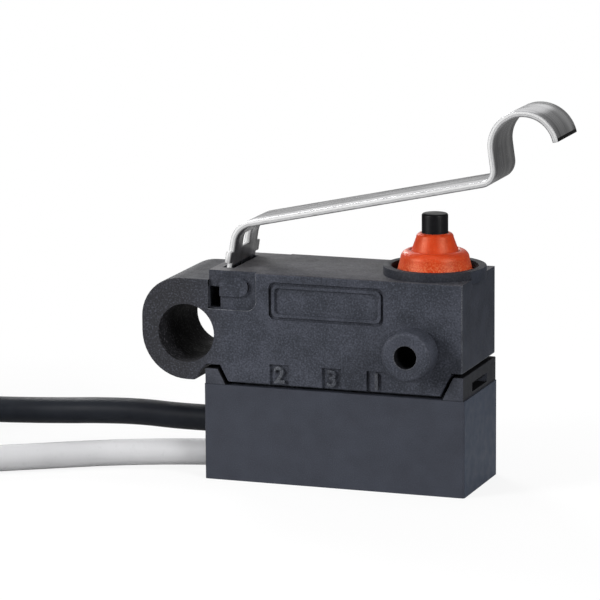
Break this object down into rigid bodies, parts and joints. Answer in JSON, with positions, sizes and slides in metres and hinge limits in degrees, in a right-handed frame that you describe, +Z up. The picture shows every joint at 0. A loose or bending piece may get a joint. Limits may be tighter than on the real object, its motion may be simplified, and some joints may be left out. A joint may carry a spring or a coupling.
{
  "type": "micro switch",
  "caption": "Sealed subminiature snap-action switch: dark moulded body with mounting ear and locating post, orange rubber boot, plunger, hinged sheet lever with a rolled end, and two leads.",
  "frame": {"origin": "middle of the terminal cover's underside", "axes": "+X along the body from the mounting ear to the plunger end, +Y from the front face (with the locating post) to the back, +Z up towards the lever"},
  "size_m": [0.0565, 0.0253, 0.0188],
  "materials": {
    "case_plastic": "fine spark-eroded grain, dark blue-grey",
    "base_plastic": "fine grain, dark blue-grey",
    "cover_plastic": "smooth, dark blue-grey",
    "resin": "cast resin",
    "boot_rubber": "soft orange-red rubber, slightly dusty",
    "plunger_plastic": "satin black",
    "lever_steel": "rolled stainless sheet",
    "terminal_brass": "plain",
    "spring_copper": "plain copper alloy strip",
    "contact_silver": "plain silver alloy",
    "spring_steel": "drawn wire",
    "solder": "bright solder",
    "tinned_wire": "tinned strands",
    "black_pvc": "smooth extruded insulation",
    "grey_pvc": "smooth extruded insulation",
    "tie_plastic": "plain"
  },
  "bodies": {
    "body": {"case": "case_plastic", "base": "base_plastic", "terminal_cover": "cover_plastic", "potting": "resin", "boot": "boot_rubber", "common_terminal": "terminal_brass", "no_terminal": "terminal_brass", "nc_terminal": "terminal_brass", "no_contact": "contact_silver", "nc_contact": "contact_silver", "return_spring": "spring_steel", "snap_spring": "spring_steel", "common_solder": "solder", "no_solder": "solder", "black_root": "black_pvc", "grey_root": "grey_pvc", "black_core": "tinned_wire", "grey_core": "tinned_wire", "black_lead": "black_pvc", "black_coil": "black_pvc", "black_tail": "black_pvc", "black_tip": "tinned_wire", "grey_lead": "grey_pvc", "grey_coil": "grey_pvc", "grey_tail": "grey_pvc", "grey_tip": "tinned_wire", "coil_ties": "tie_plastic"},
    "lever": {"lever": "lever_steel"},
    "plunger": {"plunger": "plunger_plastic"},
    "contact_arm": {"moving_arm": "spring_copper", "moving_contact": "contact_silver"}
  },
  "joints": [
    {"name": "lever_hinge", "type": "hinge", "parent": "body", "child": "lever", "pos_m": [-0.00573, 0, 0.00998], "axis": [0, 1, 0], "range_deg": [0, 10], "stiffness_Nm_per_rad": 0.017, "springref_deg": -5.16},
    {"name": "plunger_slide", "type": "slide", "parent": "body", "child": "plunger", "axis": [0, 0, 1], "range_m": [-0.00095, 0], "deforming": ["boot", "return_spring", "snap_spring"]},
    {"name": "arm_pivot", "type": "hinge", "parent": "body", "child": "contact_arm", "pos_m": [0.00219, 0, 0.0077], "axis": [0, 1, 0], "range_deg": [-4.7, 0]}
  ],
  "couplings": [
    {"joint": "plunger_slide", "follows": "lever_hinge", "m_per_rad": -0.00533},
    {"joint": "arm_pivot", "follows": "lever_hinge", "ratio": -0.46}
  ]
}
